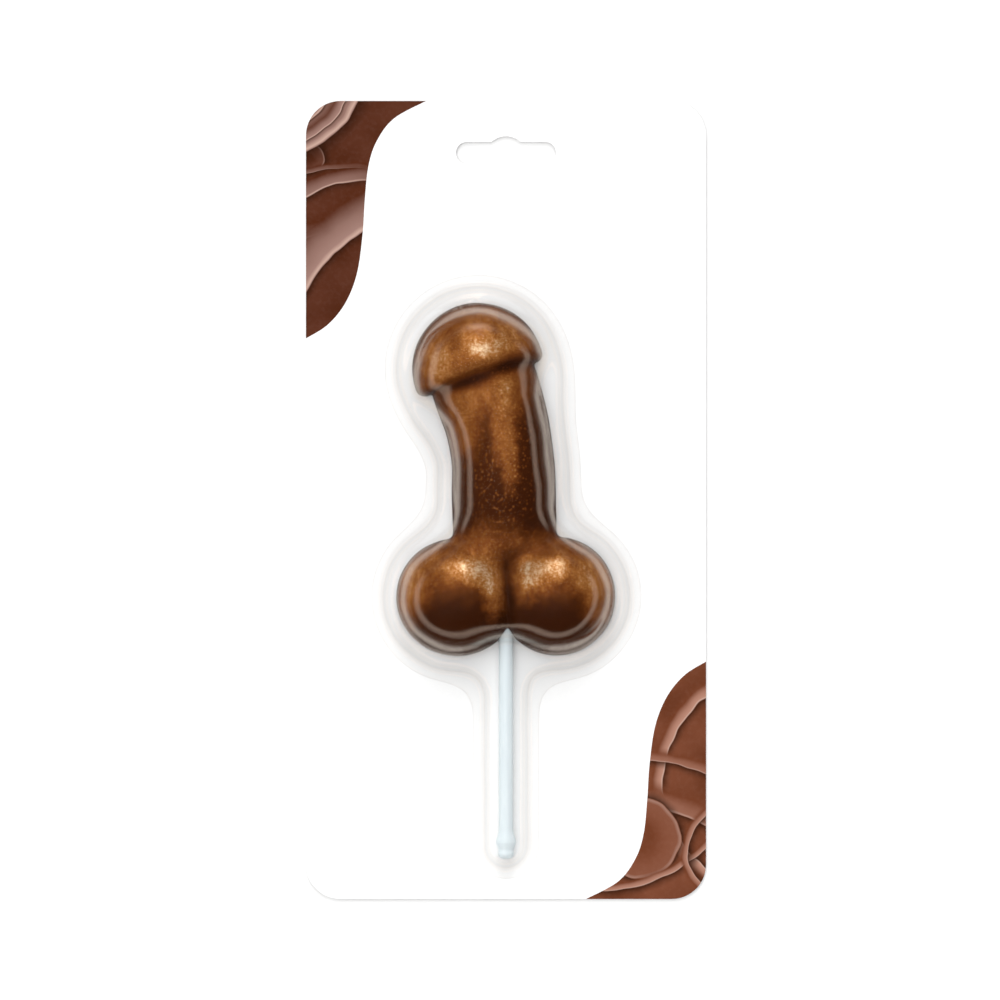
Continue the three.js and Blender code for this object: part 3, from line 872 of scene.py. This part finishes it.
def make_film():
    points, faces = surface_of(film_field, FILM_LOW, FILM_HIGH, FILM_CELL)
    points, faces, edges, rim_edges = snap_to_flange(points, faces)
    slope = slope_of(film_field, points)
    normal = slope / np.linalg.norm(slope, axis=1, keepdims=True)
    inner = points - normal * FILM_THICKNESS
    count = len(points)
    rim = {tuple(sorted(edge)) for edge in rim_edges.tolist()}
    sides = [(b, a, a + count, b + count) for a, b in edges.tolist() if tuple(sorted((a, b))) in rim]
    every_face = faces.tolist() + (faces[:, ::-1] + count).tolist() + sides
    piece = mesh_piece("blister_film", np.concatenate([points, inner]), every_face, film_material())
    piece.visible_shadow = False
    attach(piece, "root")
    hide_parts("blister")


def make_stick():
    """A round moulded stick with a flared collar, a waist and a rounded tip at its lower end."""
    foot = [tuple(row) for row in catmull_rom(STICK_FOOT, STICK_FOOT_SAMPLES)]
    top = CROTCH_Y + STICK_SOCKET_DEPTH - STICK_TOP_ROOM - STICK_END_Y
    shaft = [(STICK_RADIUS, y) for y in np.linspace(STICK_SHAFT_START, top, STICK_SHAFT_SAMPLES)]
    points, faces = turned([*foot, *shaft, (0, top)], STICK_SIDES)
    points = points + np.array([0, STICK_END_Y, STICK_Z])
    piece = mesh_piece("stick_rod", points, faces, stick_material())
    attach(piece, "root")
    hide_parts("stick")


def dress_card():
    """Gives the card's own solid its coated board."""
    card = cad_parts["backing_card"]
    material = card_material()
    for index in range(len(card.material_slots)):
        card.material_slots[index].material = material


# The upper printed field's inner edge, from the card's top edge round to its left edge. The lower field is
# the same shape turned half round.
FIELD_EDGE = [
    (-20, 99.75), (-28, 95.4), (-32.3, 89.8), (-34.4, 83.5), (-35.3, 75), (-35.9, 66),
    (-37.3, 56.5), (-40.2, 49.2), (-44.6, 43.8), (-50, 40.4),
]
FIELD_EDGE_SAMPLES = 60
FIELD_CORNER_SAMPLES = 16
PRINT_LOW = CARD_TOP + 0.004
PRINT_HIGH = CARD_TOP + 0.02


def make_printed_field(name, turn, material):
    """One corner field, as a thin layer of print whose outer edge follows the card's edge and corner."""
    inner = catmull_rom(FIELD_EDGE, FIELD_EDGE_SAMPLES)
    corner = [
        (
            -CARD_HALF_WIDTH + CARD_CORNER_RADIUS * (1 - math.cos(angle)),
            CARD_HALF_LENGTH - CARD_CORNER_RADIUS * (1 - math.sin(angle)),
        )
        for angle in np.linspace(0, math.pi / 2, FIELD_CORNER_SAMPLES)
    ]
    outline = np.array([*inner.tolist(), *corner]) * turn
    count = len(outline)
    high = np.column_stack([outline, np.full(count, PRINT_HIGH)])
    low = np.column_stack([outline, np.full(count, PRINT_LOW)])
    sides = [(i, (i + 1) % count, (i + 1) % count + count, i + count) for i in range(count)]
    top = tuple(range(count))[::-1]
    bottom = tuple(range(count, 2 * count))
    points = np.concatenate([high, low])
    piece = mesh_piece(name, points, [top, bottom, *sides], material, smooth=False)
    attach(piece, "root")


# The room's light: a broad glow with a bright middle beyond the card's top edge, a soft glow overhead, and a
# low pale wall. The wall's ranges are heights and sides of the direction that the light comes from.
KEY_DIRECTION = (0.0, 0.87, 0.50)
KEY_STRENGTH = 5.0
KEY_TIGHTNESS = 24.0
SPARK_STRENGTH = 6.0
SPARK_TIGHTNESS = 120.0
OVERHEAD_DIRECTION = (-0.20, 0.10, 0.97)
OVERHEAD_STRENGTH = 2.85
OVERHEAD_TIGHTNESS = 4.5
WALL_STRENGTH = 1.9
WALL_FOOT = (0.06, 0.17)
WALL_HEAD = (0.32, 0.42)
WALL_END = (0.2, 0.7)
ROOM_STRENGTH = 0.06


def facing_share(tree, direction, towards, tightness):
    """A round glow about a direction: 1 in its middle, falling to 0 at a right angle."""
    length = math.sqrt(sum(part**2 for part in towards))
    middle = tuple(part / length for part in towards)
    share = add(tree, "ShaderNodeVectorMath", {0: direction, 1: middle}, operation="DOT_PRODUCT")
    return math_node(tree, "POWER", math_node(tree, "MAXIMUM", share.outputs["Value"], 0.0), tightness)


def soft_room():
    """A dim room with a glow overhead, a broad light beyond the card's top edge and a low pale wall."""
    world = bpy.data.worlds.new("soft_room")
    world.use_nodes = True
    tree = world.node_tree
    direction = add(tree, "ShaderNodeTexCoord").outputs["Generated"]
    light = ROOM_STRENGTH
    for towards, tightness, strength in (
        (KEY_DIRECTION, KEY_TIGHTNESS, KEY_STRENGTH),
        (KEY_DIRECTION, SPARK_TIGHTNESS, SPARK_STRENGTH),
        (OVERHEAD_DIRECTION, OVERHEAD_TIGHTNESS, OVERHEAD_STRENGTH),
    ):
        glow = math_node(tree, "MULTIPLY", facing_share(tree, direction, towards, tightness), strength)
        light = math_node(tree, "ADD", glow, light)
    parts = add(tree, "ShaderNodeSeparateXYZ", {"Vector": direction})
    up = parts.outputs["Z"]
    along = parts.outputs["Y"]
    wall = remap(tree, up, *WALL_FOOT, 0.0, WALL_STRENGTH, smooth=True)
    wall = math_node(tree, "MULTIPLY", wall, remap(tree, up, *WALL_HEAD, 1.0, 0.0, smooth=True))
    wall = math_node(tree, "MULTIPLY", wall, remap(tree, along, *WALL_END, 1.0, 0.0, smooth=True))
    light = math_node(tree, "ADD", light, wall)
    tree.links.new(light, tree.nodes["Background"].inputs["Strength"])
    tree.nodes["Background"].inputs["Color"].default_value = (1, 1, 1, 1)
    return world


FLOOR_HALF_SIZE = 3000


def make_stage():
    half = FLOOR_HALF_SIZE
    corners = [(-half, -half, 0), (half, -half, 0), (half, half, 0), (-half, half, 0)]
    floor = mesh_piece("floor", corners, [(0, 1, 2, 3)], floor_material(), smooth=False)
    bpy.context.scene.world = soft_room()
    bpy.context.scene.view_settings.view_transform = "Standard"


def make_camera():
    """A long lens straight above, framed as in the photograph."""
    camera = bpy.data.cameras.new("camera")
    camera.sensor_width = SENSOR_WIDTH
    camera.lens = SENSOR_WIDTH * (CAMERA_DISTANCE - CARD_TOP) / (PHOTO_PIXELS * MM_PER_PIXEL)
    holder = bpy.data.objects.new("camera", camera)
    holder.location = (PHOTO_CENTRE_X * MM, 0, CAMERA_DISTANCE * MM)
    bpy.context.scene.collection.objects.link(holder)
    bpy.context.scene.camera = holder


make_camera()
make_stage()
dress_card()
upper_spread = spread_material("printed_spread_upper", PRINT_UPPER, PRINT_UPPER_LIGHT, UPPER_STROKES)
make_printed_field("print_upper_left", 1, upper_spread)
lower_spread = spread_material("printed_spread_lower", PRINT_LOWER, PRINT_LOWER_LIGHT, LOWER_STROKES)
make_printed_field("print_lower_right", -1, lower_spread)
make_stick()
make_chocolate()
make_film()
